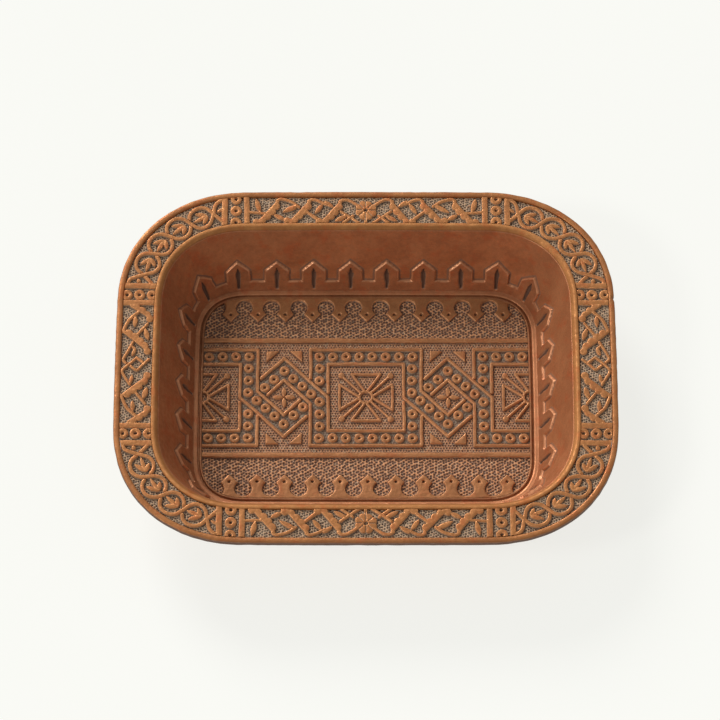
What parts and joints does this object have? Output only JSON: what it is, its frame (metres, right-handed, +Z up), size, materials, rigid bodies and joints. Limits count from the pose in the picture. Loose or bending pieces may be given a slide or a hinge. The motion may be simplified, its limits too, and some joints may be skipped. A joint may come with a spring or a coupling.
{
  "type": "copper tray",
  "caption": "Rounded oblong copper tray with a wide carved rim, sloping walls and a patterned floor.",
  "frame": {"origin": "on the surface that the tray stands on, under the middle of the tray", "axes": "+X along the long side, +Y along the short side, +Z up, out of the open well"},
  "size_m": [0.1674, 0.1338, 0.026],
  "materials": {
    "shell_copper": "aged dark red-brown copper, satin",
    "edge_copper": "aged copper, worn brighter on the edges",
    "frieze_copper": "aged copper relief with grey-green patina in the ground",
    "lip_copper": "golden-brown worn copper, polished by handling",
    "band_copper": "aged dark red-brown copper, satin",
    "bead_copper": "aged copper, satin",
    "floor_copper": "aged copper relief with dark and grey-green patina in the punched ground"
  },
  "bodies": {
    "root": {"tray_shell": "shell_copper", "outer_edge_moulding": "edge_copper", "rim_frieze": "frieze_copper", "inner_lip_moulding": "lip_copper", "battlement_band": "band_copper", "floor_bead": "bead_copper", "floor_plaque": "floor_copper"}
  },
  "joints": []
}
